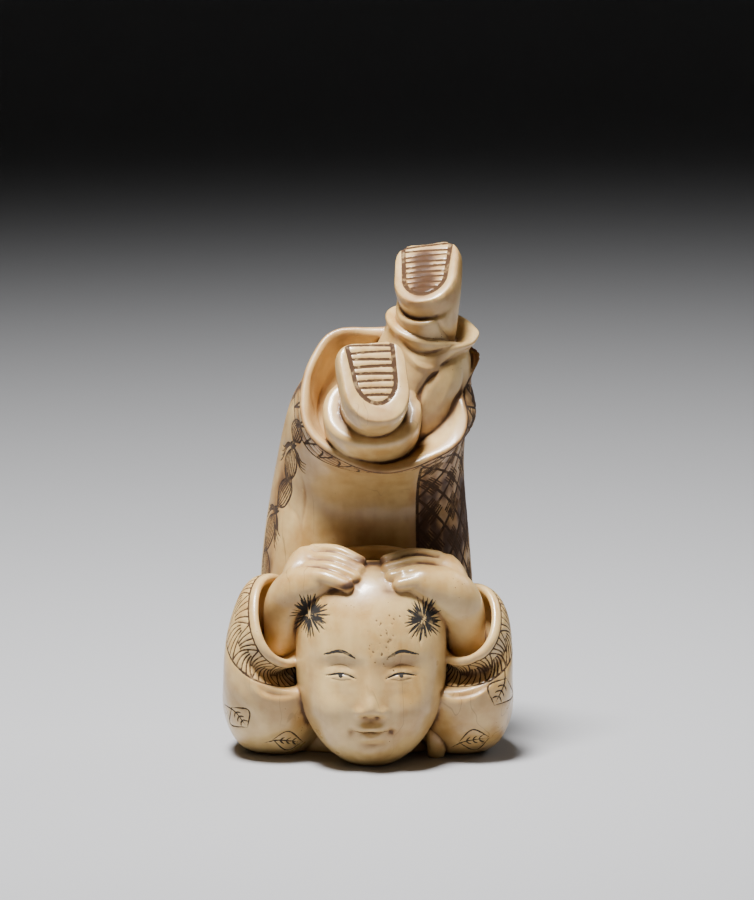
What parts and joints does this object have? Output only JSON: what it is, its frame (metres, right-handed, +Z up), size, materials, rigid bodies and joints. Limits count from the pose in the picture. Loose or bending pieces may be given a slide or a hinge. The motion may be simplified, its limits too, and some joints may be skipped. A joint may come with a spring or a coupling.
{
  "type": "netsuke",
  "caption": "Carved netsuke toggle of a tumbling boy who lies on his chin, arched over, with both soles facing forwards.",
  "frame": {"origin": "under the middle of the figure, on the surface it stands on", "axes": "+Z up, the figure's face looks along -Y, +X to the right of someone who looks at the face"},
  "size_m": [0.0284, 0.0267, 0.05],
  "materials": {
    "ivory": "polished old ivory, warm cream with an orange-brown patina in the hollows and dark inked engraving"
  },
  "bodies": {
    "root": {"tumbling_boy_figure": "ivory"}
  },
  "joints": []
}
